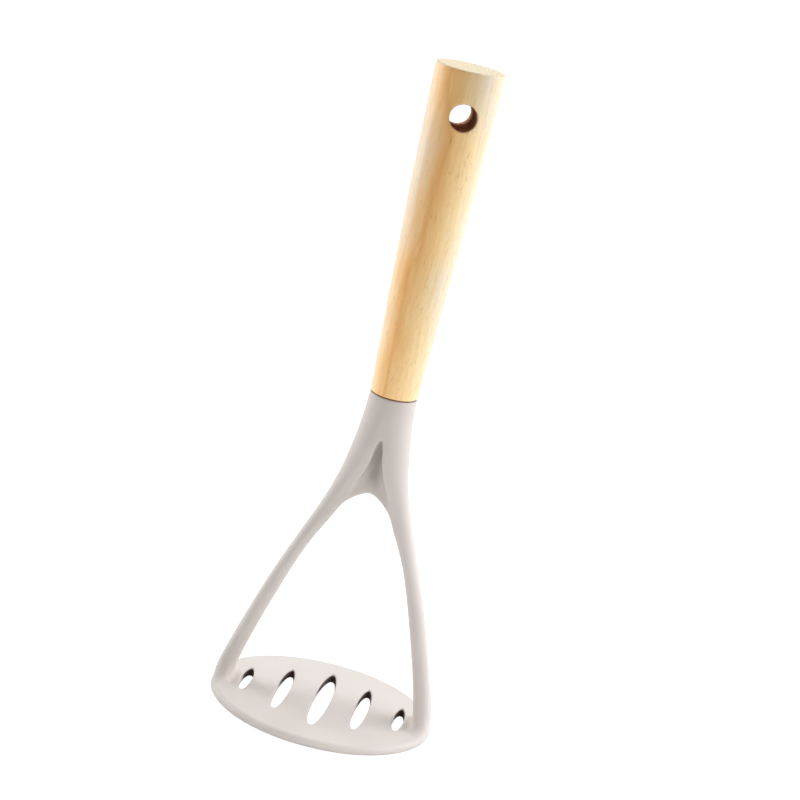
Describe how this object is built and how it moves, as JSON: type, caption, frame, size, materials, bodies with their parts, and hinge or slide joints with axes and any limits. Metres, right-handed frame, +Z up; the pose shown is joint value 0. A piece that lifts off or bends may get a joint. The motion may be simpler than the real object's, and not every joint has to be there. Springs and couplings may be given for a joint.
{
  "type": "potato masher",
  "caption": "Potato masher with a tapered wooden handle, a wishbone neck and a slotted oval mashing plate in silicone.",
  "frame": {"origin": "centre of the oval plate's flat underside, on the handle's axis", "axes": "+Z up along the handle's axis, +X along the plate's long axis through both legs, -Y is the front of the masher as pictured"},
  "size_m": [0.094, 0.085, 0.275],
  "materials": {
    "silicone": "matte",
    "nylon": "matte",
    "adhesive": "satin",
    "wood": "oiled matte"
  },
  "bodies": {
    "root": {"silicone_skin": "silicone", "nylon_core": "nylon", "tang_adhesive": "adhesive", "wooden_handle": "wood"}
  },
  "joints": []
}
